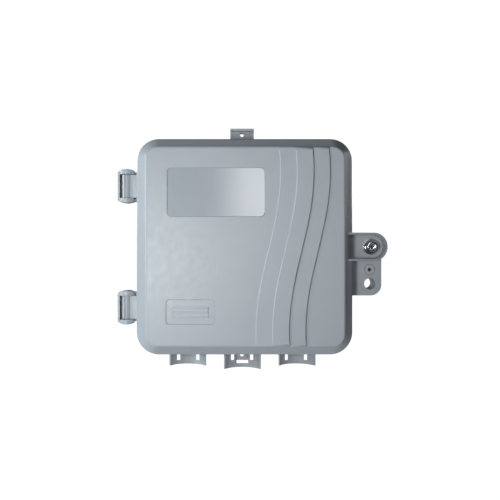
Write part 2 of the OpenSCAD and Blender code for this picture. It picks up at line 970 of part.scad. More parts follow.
// Spool on the floor that keeps spare fiber above its smallest bend
module slack_spool() {
    height = 17;
    color(nylon)
        difference() {
            union() {
                rod_y(0, spool_z, spool_r, seat_y, seat_y + 2);
                rod_y(0, spool_z, spool_r - 10, seat_y, seat_y + height);
                for (turn = [0 : 3]) {
                    translate([0, 0, spool_z])
                        rotate([0, 45 + 90 * turn, 0])
                            translate([spool_r - 12, -seat_y - height, -6])
                                cube([12, 2, 12]);
                }
            }
            rod_y(0, spool_z, spool_r - 13, seat_y + 2, seat_y + 30);
            for (side = [-1, 1]) {
                rod_y(side * spool_boss_x, spool_z, 1.7, 0, 40);
            }
        }
}

module spool_screws() {
    color(steel)
        for (side = [-1, 1]) {
            pan_screw(side * spool_boss_x, spool_z, seat_y + 2, 7.5);
        }
}

// Bracket under the top edge of the tray that carries its hinge rod
module tray_mount() {
    color(nylon)
        difference() {
            union() {
                translate([-64, -seat_y - 2.5, tray_axis_z - 4])
                    cube([128, 2.5, 14]);
                for (side = [-1, 1]) {
                    translate([side * (tray_arm_x - 8) - 2, -tray_axis_y, tray_axis_z - 4])
                        cube([4, tray_axis_y - seat_y, 8]);
                    translate([side * (tray_arm_x - 8) - 2, -tray_axis_y, tray_axis_z])
                        rotate([0, 90, 0])
                            cylinder(h = 4, r = 4);
                }
            }
            translate([-80, -tray_axis_y, tray_axis_z])
                rotate([0, 90, 0])
                    cylinder(h = 160, r = rod_r + 0.02);
            for (side = [-1, 1]) {
                rod_y(side * mount_boss_x, mount_boss_z, 1.7, 0, 30);
            }
        }
}

module tray_mount_screws() {
    color(steel)
        for (side = [-1, 1]) {
            pan_screw(side * mount_boss_x, mount_boss_z, seat_y + 2.5, 7);
        }
}

module tray_hinge_rod() {
    color(steel)
        translate([-tray_arm_x - 3.5, -tray_axis_y, tray_axis_z])
            rotate([0, 90, 0])
                cylinder(h = 2 * tray_arm_x + 7, r = rod_r);
}

module splice_tray() {
    middle_z = tray_z + tray_h / 2;
    color([0.20, 0.21, 0.23])
        difference() {
            union() {
                difference() {
                    facing(tray_back, tray_back + tray_rim)
                        translate([0, middle_z])
                            round_rect(tray_w, tray_h, tray_corner_r);
                    facing(tray_back + tray_t, tray_back + tray_rim + cut)
                        translate([0, middle_z])
                            round_rect(tray_w - 4, tray_h - 4, tray_corner_r - 2);
                }
                for (side = [-1, 1]) {
                    translate([side * tray_arm_x - 2, -tray_axis_y - 4, tray_z + tray_h - 1])
                        cube([4, 8, 6]);
                    translate([side * tray_arm_x - 2, -tray_axis_y, tray_axis_z])
                        rotate([0, 90, 0])
                            cylinder(h = 4, r = 4);
                    // curved guides that hold the fiber loops
                    difference() {
                        rod_y(side * 44, middle_z, 22, tray_back + 1, tray_back + 9);
                        rod_y(side * 44, middle_z, 20.4, tray_back + 0.5, tray_back + 10);
                        translate([side * 44 - 30 * (side + 1) / 2 - 0.01, -tray_back - 12, middle_z - 8])
                            cube([30, 12, 16]);
                    }
                }
                // posts for the lid's screws
                for (sx = [-1, 1], sz = [-1, 1]) {
                    rod_y(sx * (tray_w / 2 - 6), middle_z + sz * (tray_h / 2 - 6), 3.4,
                        tray_back + 1, tray_back + tray_rim);
                }
            }
            translate([-80, -tray_axis_y, tray_axis_z])
                rotate([0, 90, 0])
                    cylinder(h = 160, r = rod_r + 0.06);
            // fiber entries through the lower wall
            for (sx = [-1, 1]) {
                translate([sx * 58 - 5, -tray_back - tray_rim - cut, tray_z - cut])
                    cube([10, tray_rim - tray_t, 5]);
            }
        }
}

module tray_lid() {
    middle_z = tray_z + tray_h / 2;
    color([0.85, 0.90, 0.95, 0.35])
        facing(tray_back + tray_rim + 0.05, tray_back + tray_rim + 0.05 + lid_t)
            difference() {
                translate([0, middle_z])
                    round_rect(tray_w, tray_h, tray_corner_r);
                translate([0, tray_z])
                    circle(r = 9);
            }
}

// Comb that grips the splice sleeves
module splice_holder() {
    width = sleeves * sleeve_pitch + 1.5;
    back = tray_back + tray_t;
    color([0.92, 0.92, 0.90])
        difference() {
            for (side = [-1, 1]) {
                translate([-width / 2, -back - 6.5, holder_z + 12 + side * 12 - 4])
                    cube([width, 6.5, 8]);
            }
            for (i = [1 : sleeves]) {
                x = (i - (sleeves + 1) / 2) * sleeve_pitch;
                translate([x, -back - 3.2, 0])
                    cylinder(h = 100, r = sleeve_r + 0.05);
                translate([x - 1.2, -back - 10, 0])
                    cube([2.4, 6.8, 100]);
            }
        }
}

module splice_sleeves() {
    back = tray_back + tray_t;
    color([0.80, 0.84, 0.88])
        for (i = [1 : sleeves]) {
            translate([(i - (sleeves + 1) / 2) * sleeve_pitch, -back - 3.2, holder_z + 12 - sleeve_len / 2])
                cylinder(h = sleeve_len, r = sleeve_r);
        }
}

// ---- ground point -------------------------------------------------------------

module ground_stud() {
    color(brass)
        rod_y(ground_x, ground_z, 2.98, 1.6, 26);
}

module ground_bar() {
    color(brass)
        difference() {
            union() {
                translate([ground_x - 8, -base_floor - 2, ground_z - 26])
                    cube([16, 2, 35]);
                translate([ground_x - 6, -base_floor - 9, ground_z - 24])
                    cube([12, 7.5, 10]);
            }
            rod_y(ground_x, ground_z, 3.05, 0, 20);
            translate([ground_x - 20, -base_floor - 5.5, ground_z - 19])
                rotate([0, 90, 0])
                    cylinder(h = 40, r = 2);
        }
}

module ground_nut() {
    color(brass)
        difference() {
            hex_y(ground_x, ground_z, 5.8, base_floor + 2.05, base_floor + 7);
            rod_y(ground_x, ground_z, 3.05, 0, 30);
        }
}

base_shell();
hinge_bracket_upper();
hinge_bracket_lower();
latch_lug();
saddle_left();
saddle_middle();
saddle_right();
top_tab();
bottom_tab();
cover_shell();
latch_pocket();
hasp_plate();
knuckle_upper();
knuckle_lower();
gasket_frame();
cover_gasket();
label_plate();
badge_plate();
hinge_pin_upper();
hinge_pin_lower();
security_bolt();
bolt_washer();
retaining_ring();
threaded_insert();
grommet_left();
grommet_middle();
grommet_right();
clamp_bar_left();
clamp_bar_middle();
clamp_bar_right();
clamp_screws();
adapter_bracket();
bracket_screws();
adapter_1();
adapter_2();
adapter_3();
adapter_4();
dust_cap_1();
dust_cap_2();
dust_cap_3();
dust_cap_4();
slack_spool();
spool_screws();
tray_mount();
tray_mount_screws();
tray_hinge_rod();
splice_tray();
tray_lid();
splice_holder();
splice_sleeves();
ground_bar();
ground_stud();
ground_nut();
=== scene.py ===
"""Looks of a wall-mounted fiber termination box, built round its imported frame.

The cover, the base and the bolt get finer meshes with rounded edges, and every other piece
keeps its CAD shape with softened edges. Objects are in metres. Shapes are drawn in
millimetres, as (x, y, z) with the wall at y = 0 and the front at negative y, and become
metres when a piece is finished.
"""

import json
import math

import bmesh
import bpy
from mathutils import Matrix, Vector

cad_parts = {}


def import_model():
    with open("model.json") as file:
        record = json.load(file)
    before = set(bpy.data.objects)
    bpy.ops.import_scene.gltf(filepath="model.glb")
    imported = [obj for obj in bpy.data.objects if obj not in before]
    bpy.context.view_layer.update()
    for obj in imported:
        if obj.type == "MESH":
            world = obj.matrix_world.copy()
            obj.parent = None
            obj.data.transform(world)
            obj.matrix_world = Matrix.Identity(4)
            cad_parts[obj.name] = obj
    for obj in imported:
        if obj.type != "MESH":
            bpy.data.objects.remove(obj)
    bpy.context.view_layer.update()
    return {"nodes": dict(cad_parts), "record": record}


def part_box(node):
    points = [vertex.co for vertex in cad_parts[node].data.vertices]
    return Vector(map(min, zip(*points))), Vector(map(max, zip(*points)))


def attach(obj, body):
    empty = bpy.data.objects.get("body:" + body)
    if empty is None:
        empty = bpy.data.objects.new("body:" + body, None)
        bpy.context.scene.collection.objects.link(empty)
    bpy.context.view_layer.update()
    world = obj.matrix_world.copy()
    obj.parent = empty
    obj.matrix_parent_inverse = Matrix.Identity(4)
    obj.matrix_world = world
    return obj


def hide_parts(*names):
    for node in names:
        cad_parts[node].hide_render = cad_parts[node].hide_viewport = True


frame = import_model()
nodes = frame["nodes"]

MM = 0.001


def box_mm(node):
    """Lowest and highest corner of a CAD node, in millimetres."""
    low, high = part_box(node)
    return low / MM, high / MM


# ---- sizes, in millimetres ------------------------------------------------------

LABEL_LOW, LABEL_HIGH = box_mm("label_plate")
BADGE_LOW, BADGE_HIGH = box_mm("badge_plate")
PLATE_GAP = 0.1
PLATE_SUNK = 0.4
LABEL_R = 5
BADGE_R = 3.5

COVER_LOW, COVER_HIGH = box_mm("cover_shell")
COVER_HALF = COVER_HIGH.x
COVER_FRONT = PLATE_SUNK - LABEL_LOW.y
SKIRT_BACK = -COVER_HIGH.y
COVER_R = 24
COVER_WALL = 3
RELIEF = 0.9
BORDER_W = 13
BORDER_SLOPE = math.radians(50)
LIP_SLOPE = math.radians(60)
LIP_W = 1.2
FACE_EDGE_R = 3.5

BASE_LOW, BASE_HIGH = box_mm("base_shell")
BASE_HALF = BASE_HIGH.x
BASE_RIM = -BASE_LOW.y
BASE_R = 19.5
BASE_WALL = 3
BASE_FLOOR = 3.5

WAVE_RISE = (-COVER_LOW.y - COVER_FRONT) / 2
WAVE_FIRST = 23.8
WAVE_PITCH = 17.15
WAVE_SWING = 12.75
WAVE_HALF_LENGTH = 166.6
WAVE_SHIFT = 5
GAP_W = 0.9
GAP_DEPTH = 1.3
RUN_OUT = 4
RUN_OUT_DEPTH = 3

PIN_LOW, PIN_HIGH = box_mm("hinge_pin_upper")
HINGE_X = (PIN_LOW.x + PIN_HIGH.x) / 2
HINGE_Y = (PIN_LOW.y + PIN_HIGH.y) / 2
HINGE_Z = (PIN_LOW.z + PIN_HIGH.z) / 2
PIN_R = (PIN_HIGH.x - PIN_LOW.x) / 2
KNUCKLE_R = 5
KNUCKLE_HALF = 12.8
KNUCKLE_ARM_FRONT = 2.4
KNUCKLE_ARM_T = 4
KNUCKLE_ROOT = 1.5
KNUCKLE_PLAY = 0.06
EAR_PLAY = 0.02
GROOVE_X = HINGE_X - 1.3
GROOVE_W = 0.7
GROOVE_DEPTH = 0.6
EAR_R = 9.1
EAR_T = 5.6
EAR_GAP = 0.4
DOME_R = 26.5
DOME_X = HINGE_X + 1.5
DOME_TRIM = 0.3
ARM_T = 3.4
PLATE_BACK = 27
WEB_T = 2.4
WEB_INSET = 3

BOLT_LOW, BOLT_HIGH = box_mm("security_bolt")
LATCH_X = (BOLT_LOW.x + BOLT_HIGH.x) / 2
LATCH_Z = (BOLT_LOW.z + BOLT_HIGH.z) / 2
POCKET_R = 15
POCKET_WALL = 2.3
POCKET_FLOOR = 53
POCKET_ROOT = 12
CAVITY_LEFT = COVER_HALF - 6.4
RIM_Y = 75.3
RIM_SLOPE = math.radians(12.5)
HASP_FRONT = 50
HASP_BACK = 46
HASP_RIGHT = LATCH_X + 12.7
HASP_BOTTOM = -53.4
HASP_R = 11.8
HASP_ROOT = 2
BOLT_HOLE_R = 3.45
RING_SEAT_R = 6.5
RING_SEAT_DEPTH = 3
PADLOCK_R = 6.1
PADLOCK_Z = -40.5
SEAL_R = 1.9
SEAL_Z = -25
SEAL_RING_W = 0.7
SEAL_RING_DEPTH = 0.5
LUG_FRONT = 45.5
LUG_BACK = 28
LUG_LEFT = COVER_HALF + 1.2
LUG_WALL = 2.6
LUG_FACE = 3
INSERT_BOSS_R = 9
PADLOCK_BOSS_R = PADLOCK_R + 2.4
SEAL_BOSS_R = SEAL_R + 2.6
INSERT_R = 5
INSERT_FRONT = 38.5

SADDLE_PITCH = 63
SADDLE_ENDS = (137, 141, 137)
SADDLE_HALF = 21.25
TROUGH_R = 22.5
TROUGH_T = 2.5
TROUGH_BOTTOM = 6
TROUGH_FRONT = 17.5
TIE_SLOT_X = 11.2
TIE_SLOT_HALF = 1.9
TIE_SLOT_LOW = 132.8
TIE_SLOT_HIGH = 122
TIE_SLOT_R = 0.6
WINDOW_HALF = 7.25
WINDOW_HIGH = -113.9
WINDOW_FOOT = 4.1
RIB_X = 16
RIB_HALF = 1.25
RIB_FRONT = 10.5
PORT_Y = 17
PORT_R = 8.5
SCREW_R = 2.2
TOP_SCREW_Z = 131
BOTTOM_SCREW_Z = -127.6
TOP_TAB_T = 6
TOP_LIP_T = 2.8

BOSS_R = 4.1
PILOT_R = 1.5
BOSS_TOP = BASE_FLOOR + 4
BOSS_PLACES = ((58, -62), (17, 42), (56, 101))
CLAMP_BOSS_X = 14
CLAMP_BOSS_Z = -88
CLAMP_BOSS_TOP = 11.5

HEX_R = 6.4
HEAD_T = 5.6
FLANGE_T = 2.4
NECK_R = 2.5

PAST = 1                    # how far a cutting shape runs past a face
ROOT = 1                    # how far an added shape starts inside the wall it stands on
ROUNDED_FROM = 32           # degrees: sharper edges than this are rounded
MOULDED_EDGE = 0.35
BOLT_EDGE = 0.15
CAD_EDGE = 0.18
CAD_ROUNDED_FROM = 35


# ---- outlines and solids --------------------------------------------------------


def arc(x, z, r, start, end, steps):
    """Points on an arc about (x, z), from start to end degrees, counted from +X towards +Z."""
    angles = [math.radians(start + (end - start) * i / steps) for i in range(steps + 1)]
    return [(x + r * math.cos(a), z + r * math.sin(a)) for a in angles]


def circle(x, z, r, steps=48):
    return arc(x, z, r, 0, 360, steps)[:-1]


def round_rect(left, low, right, high, r, steps=12):
    """Outline of a rectangle with round corners."""
    return (arc(right - r, high - r, r, 0, 90, steps) + arc(left + r, high - r, r, 90, 180, steps)
            + arc(left + r, low + r, r, 180, 270, steps) + arc(right - r, low + r, r, 270, 360, steps))


def rectangle(left, low, right, high):
    return [(left, low), (right, low), (right, high), (left, high)]


def loft(rings):
    """Closed solid through rings that all have the same number of (x, y, z) points."""
    bm = bmesh.new()
    rows = [[bm.verts.new(point) for point in ring] for ring in rings]
    for row, following in zip(rows, rows[1:]):
        for i, corner in enumerate(row):
            j = (i + 1) % len(row)
            bm.faces.new((corner, row[j], following[j], following[i]))
    bm.faces.new(rows[0])
    bm.faces.new(rows[-1])
    bmesh.ops.recalc_face_normals(bm, faces=bm.faces)
    mesh = bpy.data.meshes.new("solid")
    bm.to_mesh(mesh)
    bm.free()
    solid = bpy.data.objects.new("solid", mesh)
    bpy.context.scene.collection.objects.link(solid)
    return solid


def facing(outline, back, front):
    """Prism of a front-view outline between two distances from the wall."""
    return loft([[(x, -y, z) for x, z in outline] for y in (back, front)])


def rod_y(x, z, r, back, front, steps=48):
    return facing(circle(x, z, r, steps), back, front)


def upright(outline, low, high):
    """Prism of a top-view outline, given as (x, y) points, between two heights."""
    return loft([[(x, y, z) for x, y in outline] for z in (low, high)])


def rod_z(x, y, r, low, high, steps=64):
    return upright(circle(x, y, r, steps), low, high)


def block(low, high):
    return upright(rectangle(low[0], low[1], high[0], high[1]), low[2], high[2])


def turned(x, z, profile, steps=64):
    """Solid of revolution about a line along Y: profile lists (radius, distance from the wall)."""
    return loft([[(px, -y, pz) for px, pz in circle(x, z, r, steps)] for r, y in profile])


def border(steps=8):
    """Section of the cover's border: a round off the side, a slope, a steeper lip and a round
    onto the face, as (distance in from the side, distance back from the face)."""
    lip_in = BORDER_W - FACE_EDGE_R * math.sin(LIP_SLOPE)
    lip_back = FACE_EDGE_R * (1 - math.cos(LIP_SLOPE))
    slope_in = lip_in - LIP_W
    slope_back = lip_back + LIP_W * math.tan(LIP_SLOPE)
    side_r = 0.95 * slope_in
    side_in = side_r * (1 - math.sin(BORDER_SLOPE))
    side_back = slope_back + (slope_in - side_in) * math.tan(BORDER_SLOPE)
    section = []
    for i in range(steps + 1):
        tilt = math.pi / 2 + (BORDER_SLOPE - math.pi / 2) * i / steps
        section.append((side_r * (1 - math.sin(tilt)),
                        side_back + side_r * (math.cos(BORDER_SLOPE) - math.cos(tilt))))
    section.append((slope_in, slope_back))
    for i in range(steps + 1):
        tilt = LIP_SLOPE * (1 - i / steps)
        section.append((BORDER_W - FACE_EDGE_R * math.sin(tilt), FACE_EDGE_R * (1 - math.cos(tilt))))
    return section


def soft_block(half, r, back, front):
    """Square block with round corners and the cover's border round its front."""
    rings = []
    for inset, y in [(0, front - back)] + border():
        side = half - inset
        outline = round_rect(-side, -side, side, side, r - inset, 24)
        rings.append([(x, y - front, z) for x, z in outline])
    return loft(rings)


def boolean(solid, tools, operation):
    """Joins, cuts or meets a solid with others, which are used up."""
    for tool in tools:
        step = solid.modifiers.new(operation, "BOOLEAN")
        step.operation = operation
        step.solver = "MANIFOLD"
        step.object = tool
    mesh = evaluated_mesh(solid)
    solid.modifiers.clear()
    solid.data = mesh
    for tool in tools:
        bpy.data.objects.remove(tool)
    return solid


def join(solid, *tools):
    return boolean(solid, tools, "UNION")


def cut(solid, *tools):
    return boolean(solid, tools, "DIFFERENCE")


def meet(solid, tool):
    return boolean(solid, [tool], "INTERSECT")


def bevel(piece, width, segments, angle=None):
    """Rounds the edges sharper than the angle, or the marked ones where no angle is given."""
    edges = piece.modifiers.new("edges", "BEVEL")
    edges.width = width * MM
    edges.segments = segments
    edges.limit_method = "ANGLE" if angle else "WEIGHT"
    edges.angle_limit = math.radians(angle or 0)
    edges.use_clamp_overlap = False


def even_normals(piece):
    normals = piece.modifiers.new("normals", "WEIGHTED_NORMAL")
    normals.keep_sharp = True
    normals.weight = 80


def evaluated_mesh(piece):
    """A new mesh with the piece's modifiers worked in."""
    bpy.context.view_layer.update()
    return bpy.data.meshes.new_from_object(piece.evaluated_get(bpy.context.evaluated_depsgraph_get()))


def choose_edges(bm, angle, left_sharp):
    """Marks the edges to round: the sharp ones, apart from those left_sharp picks out."""
    weight = bm.edges.layers.float.new("bevel_weight_edge")
    for edge in bm.edges:
        sharp = edge.calc_face_angle(0) > math.radians(angle)
        edge[weight] = 1.0 if sharp and not left_sharp(edge) else 0.0


def nowhere(edge):
    """Leaves no edge sharp."""
    return False


def finish_piece(solid, name, body, material, width, replaced, segments=3,
                 left_sharp=nowhere):
    """Turns a solid drawn in millimetres into a named piece of the object, in metres."""
    solid.name = name
    bm = bmesh.new()
    bm.from_mesh(solid.data)
    bmesh.ops.scale(bm, vec=(MM, MM, MM), verts=bm.verts)
    bmesh.ops.remove_doubles(bm, verts=bm.verts, dist=0.004 * MM)
    bmesh.ops.dissolve_limit(bm, angle_limit=math.radians(0.4), verts=bm.verts, edges=bm.edges)
    bmesh.ops.recalc_face_normals(bm, faces=bm.faces)
    choose_edges(bm, ROUNDED_FROM, left_sharp)
    bm.to_mesh(solid.data)
    bm.free()
    bevel(solid, width, segments)
    mesh = evaluated_mesh(solid)
    solid.modifiers.clear()
    solid.data = mesh
    for face in mesh.polygons:
        face.use_smooth = True
    mesh.materials.clear()
    mesh.materials.append(material)
    even_normals(solid)
    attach(solid, body)
    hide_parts(*replaced)
    return solid


# ---- materials --------------------------------------------------------------------


def grain(tree, scale, detail, low, high):
    """Noise in the object's own space, spread between two values."""
    place = tree.nodes.new("ShaderNodeTexCoord")
    noise = tree.nodes.new("ShaderNodeTexNoise")
    noise.inputs["Scale"].default_value = scale
    noise.inputs["Detail"].default_value = detail
    spread = tree.nodes.new("ShaderNodeMapRange")
    spread.inputs["From Min"].default_value = 0.3
    spread.inputs["From Max"].default_value = 0.7
    spread.inputs["To Min"].default_value = low
    spread.inputs["To Max"].default_value = high
    tree.links.new(place.outputs["Object"], noise.inputs["Vector"])
    tree.links.new(noise.outputs["Fac"], spread.inputs["Value"])
    return spread.outputs["Result"]


def material(name, colour, second, roughness, mottle=60, bump=0.0, bump_scale=1500, metallic=0.0):
    """Moulded or plated surface: colour drifts to a second tone, roughness varies between its
    (low, high), and a fine bump lies on it, whose height is in millimetres."""
    made = bpy.data.materials.new(name)
    made.use_nodes = True
    tree = made.node_tree
    shader = tree.nodes["Principled BSDF"]
    shader.inputs["Metallic"].default_value = metallic
    mix = tree.nodes.new("ShaderNodeMix")
    mix.data_type = "RGBA"
    mix.inputs["A"].default_value = (*colour, 1)
    mix.inputs["B"].default_value = (*second, 1)
    tree.links.new(grain(tree, mottle, 4, 0, 1), mix.inputs["Factor"])
    tree.links.new(mix.outputs["Result"], shader.inputs["Base Color"])
    tree.links.new(grain(tree, mottle * 3, 3, *roughness), shader.inputs["Roughness"])
    if bump:
        relief = tree.nodes.new("ShaderNodeBump")
        relief.inputs["Distance"].default_value = bump * MM
        relief.inputs["Strength"].default_value = 1
        tree.links.new(grain(tree, bump_scale, 3, 0, 1), relief.inputs["Height"])
        tree.links.new(relief.outputs["Normal"], shader.inputs["Normal"])
    return made


def clear_plastic():
    made = material("clear_plastic", (0.90, 0.94, 0.96), (0.86, 0.92, 0.95), (0.04, 0.09), mottle=25)
    shader = made.node_tree.nodes["Principled BSDF"]
    shader.inputs["Transmission Weight"].default_value = 0.92
    shader.inputs["IOR"].default_value = 1.49
    return made


def brushed(name, colour, second, roughness, along):
    """Metal with fine drawn lines: along is the stretch of the noise on each axis."""
    made = material(name, colour, second, roughness, mottle=40, metallic=1.0)
    tree = made.node_tree
    place = tree.nodes.new("ShaderNodeTexCoord")
    stretch = tree.nodes.new("ShaderNodeMapping")
    stretch.inputs["Scale"].default_value = along
    lines = tree.nodes.new("ShaderNodeTexNoise")
    lines.inputs["Scale"].default_value = 900
    lines.inputs["Detail"].default_value = 2
    relief = tree.nodes.new("ShaderNodeBump")
    relief.inputs["Distance"].default_value = 0.004 * MM
    tree.links.new(place.outputs["Object"], stretch.inputs["Vector"])
    tree.links.new(stretch.outputs["Vector"], lines.inputs["Vector"])
    tree.links.new(lines.outputs["Fac"], relief.inputs["Height"])
    tree.links.new(relief.outputs["Normal"], tree.nodes["Principled BSDF"].inputs["Normal"])
    return made


SLOTS = {
    "shell_plastic": material("shell_plastic", (0.400, 0.437, 0.468), (0.416, 0.452, 0.480),
                              (0.40, 0.48), mottle=45, bump=0.022, bump_scale=1700),
    "polished_plastic": material("polished_plastic", (0.400, 0.437, 0.468), (0.410, 0.446, 0.476),
                                 (0.09, 0.13), mottle=30, bump=0.002, bump_scale=300),
    "black_rubber": material("black_rubber", (0.022, 0.022, 0.024), (0.034, 0.034, 0.036), (0.62, 0.78),
                             mottle=120, bump=0.03, bump_scale=1100),
    "stainless_steel": brushed("stainless_steel", (0.62, 0.61, 0.59), (0.56, 0.56, 0.55), (0.22, 0.32),
                               (1, 1, 0.02)),
    "plated_steel": material("plated_steel", (0.84, 0.84, 0.84), (0.78, 0.78, 0.79), (0.08, 0.16),
                             mottle=220, bump=0.004, bump_scale=700, metallic=1.0),
    "zinc_steel": material("zinc_steel", (0.66, 0.68, 0.70), (0.60, 0.62, 0.66), (0.24, 0.36),
                           mottle=260, bump=0.006, bump_scale=900, metallic=1.0),
    "galvanised_steel": material("galvanised_steel", (0.60, 0.62, 0.64), (0.48, 0.50, 0.53), (0.30, 0.46),
                                 mottle=190, bump=0.008, bump_scale=420, metallic=1.0),
    "black_steel": material("black_steel", (0.05, 0.05, 0.052), (0.08, 0.08, 0.084), (0.35, 0.5),
                            mottle=150, bump=0.01, bump_scale=1200, metallic=0.6),
    "brass": material("brass", (0.72, 0.53, 0.22), (0.64, 0.46, 0.19), (0.20, 0.32),
                      mottle=140, bump=0.005, bump_scale=800, metallic=1.0),
    "white_nylon": material("white_nylon", (0.74, 0.74, 0.70), (0.70, 0.70, 0.66), (0.42, 0.52),
                            mottle=60, bump=0.012, bump_scale=1300),
    "tray_plastic": material("tray_plastic", (0.035, 0.037, 0.040), (0.048, 0.050, 0.053), (0.42, 0.54),
                             mottle=60, bump=0.018, bump_scale=1500),
    "clear_plastic": clear_plastic(),
    "sleeve_plastic": material("sleeve_plastic", (0.70, 0.75, 0.80), (0.64, 0.70, 0.76), (0.18, 0.30),
                               mottle=160, bump=0.01, bump_scale=500),
    "adapter_plastic": material("adapter_plastic", (0.03, 0.20, 0.09), (0.04, 0.24, 0.11), (0.28, 0.38),
                                mottle=90, bump=0.008, bump_scale=1200),
    "cap_plastic": material("cap_plastic", (0.50, 0.035, 0.028), (0.56, 0.05, 0.04), (0.26, 0.36),
                            mottle=90, bump=0.008, bump_scale=1200),
}


# ---- cover ------------------------------------------------------------------------


def wave_line(step, reach, shift=0, points=72):
    """One of the wave's lines, from bottom to top."""
    heights = [reach * (2 * i / points - 1) for i in range(points + 1)]
    middle = WAVE_FIRST + step * WAVE_PITCH + shift
    return [(middle + WAVE_SWING * math.sin(math.pi * (z + WAVE_SHIFT) / WAVE_HALF_LENGTH), z)
            for z in heights]


def wave_tier(first, last, rise):
    """Raised strip between two of the wave's lines: its ends run into the border's lip."""
    tuck = 0.62 * rise
    root = FACE_EDGE_R * (1 - math.cos(LIP_SLOPE))
    outline = wave_line(last, COVER_HALF) + wave_line(first, COVER_HALF)[::-1]
    strip = facing(outline, COVER_FRONT - root, COVER_FRONT + rise)
    return meet(strip, soft_block(COVER_HALF - tuck, COVER_R - tuck, SKIRT_BACK, COVER_FRONT + rise))


def shadow_gap(step, foot):
    """Narrow slot along the foot of a step that faces away from the hinges."""
    reach = COVER_HALF - BORDER_W + 1.5
    outline = wave_line(step, reach, GAP_W) + wave_line(step, reach)[::-1]
    return facing(outline, COVER_FRONT + foot - GAP_DEPTH, COVER_FRONT + foot + PAST)


def pocket_outline(r, left):
    return arc(LATCH_X, LATCH_Z, r, -90, 90, 40) + [(left, r), (left, -r)]


def hasp_outline(left, inset=0):
    right = HASP_RIGHT - inset
    low = HASP_BOTTOM + inset
    r = HASP_R - inset
    return arc(right - r, low + r, r, -90, 0, 24) + [(right, -2), (left, -2), (left, low)]


def latch_pocket():
    """Pocket whose front edge falls back towards its round end."""
    pocket = facing(pocket_outline(POCKET_R, COVER_HALF - POCKET_ROOT), HASP_BACK, COVER_FRONT - 2)
    near = CAVITY_LEFT - POCKET_ROOT
    far = LATCH_X + 25
    front = -COVER_FRONT - 12
    rim = [(x, (x - CAVITY_LEFT) * math.tan(RIM_SLOPE) - RIM_Y) for x in (near, far)]
    return cut(pocket, upright(rim + [(far, front), (near, front)], -2 * POCKET_R, 2 * POCKET_R))


def cover_knuckle(z):
    low, high = z - KNUCKLE_HALF, z + KNUCKLE_HALF
    barrel = rod_z(HINGE_X, HINGE_Y, KNUCKLE_R, low, high)
    front = HINGE_Y - KNUCKLE_R
    arm = HINGE_Y - KNUCKLE_ARM_FRONT
    join(barrel, block((HINGE_X, arm, low), (-COVER_HALF + KNUCKLE_ROOT, arm + KNUCKLE_ARM_T, high)))
    return cut(barrel,
               rod_z(HINGE_X, HINGE_Y, PIN_R + KNUCKLE_PLAY, low - PAST, high + PAST, 32),
               block((GROOVE_X, front - 0.3, low - PAST),
                     (GROOVE_X + GROOVE_W, front + GROOVE_DEPTH, high + PAST)))


def wave_run_out(edge):
    """True where the wave sinks into the border, which is too shallow to round."""
    reach = (COVER_HALF - BORDER_W - RUN_OUT) * MM
    return all(abs(end.co.z) > reach and -end.co.y > (COVER_FRONT - RUN_OUT_DEPTH) * MM
               for end in edge.verts)


def cover_skin():
    skin = soft_block(COVER_HALF, COVER_R, SKIRT_BACK, COVER_FRONT)
    join(skin, wave_tier(0, 3, WAVE_RISE))
    join(skin, wave_tier(1, 2, 2 * WAVE_RISE))
    join(skin, latch_pocket())
    join(skin, facing(hasp_outline(COVER_HALF - HASP_ROOT), HASP_BACK, HASP_FRONT),
         cover_knuckle(HINGE_Z), cover_knuckle(-HINGE_Z))
    cut(skin, soft_block(COVER_HALF - COVER_WALL, COVER_R - COVER_WALL, SKIRT_BACK - PAST,
                         COVER_FRONT - COVER_WALL))
    wall = block((CAVITY_LEFT - COVER_WALL, -RIM_Y, -POCKET_R),
                 (CAVITY_LEFT + COVER_WALL, COVER_WALL - POCKET_FLOOR, POCKET_R))
    join(skin, meet(wall, soft_block(COVER_HALF, COVER_R, SKIRT_BACK, COVER_FRONT)))
    cavity = pocket_outline(POCKET_R - POCKET_WALL, CAVITY_LEFT)
    cut(skin, facing(cavity, POCKET_FLOOR, COVER_FRONT + PAST))
    cut(skin, shadow_gap(2, WAVE_RISE), shadow_gap(3, 0))
    back, front = COVER_FRONT - RELIEF, COVER_FRONT + PAST
    for low, high, r in ((LABEL_LOW, LABEL_HIGH, LABEL_R), (BADGE_LOW, BADGE_HIGH, BADGE_R)):
        outline = round_rect(low.x - PLATE_GAP, low.z - PLATE_GAP,
                             high.x + PLATE_GAP, high.z + PLATE_GAP, r)
        cut(skin, facing(outline, back, front))
    ring = rod_y(LATCH_X, SEAL_Z, PADLOCK_R, HASP_FRONT - SEAL_RING_DEPTH, HASP_FRONT + PAST)
    cut(ring, rod_y(LATCH_X, SEAL_Z, PADLOCK_R - SEAL_RING_W, HASP_FRONT - 2, HASP_FRONT + 3))
    cut(skin,
        rod_y(LATCH_X, LATCH_Z, BOLT_HOLE_R, HASP_BACK - PAST, POCKET_FLOOR + PAST),
        rod_y(LATCH_X, LATCH_Z, RING_SEAT_R, HASP_BACK - PAST, HASP_BACK + RING_SEAT_DEPTH),
        rod_y(LATCH_X, PADLOCK_Z, PADLOCK_R, HASP_BACK - PAST, HASP_FRONT + PAST),
        rod_y(LATCH_X, SEAL_Z, SEAL_R, HASP_BACK - PAST, HASP_FRONT + PAST, 32),
        ring)
    return finish_piece(skin, "cover_moulding", "cover", SLOTS["shell_plastic"],
                        MOULDED_EDGE,
                        ["cover_shell", "latch_pocket", "hasp_plate", "knuckle_upper", "knuckle_lower"],
                        left_sharp=wave_run_out)


# ---- base ---------------------------------------------------------------------------


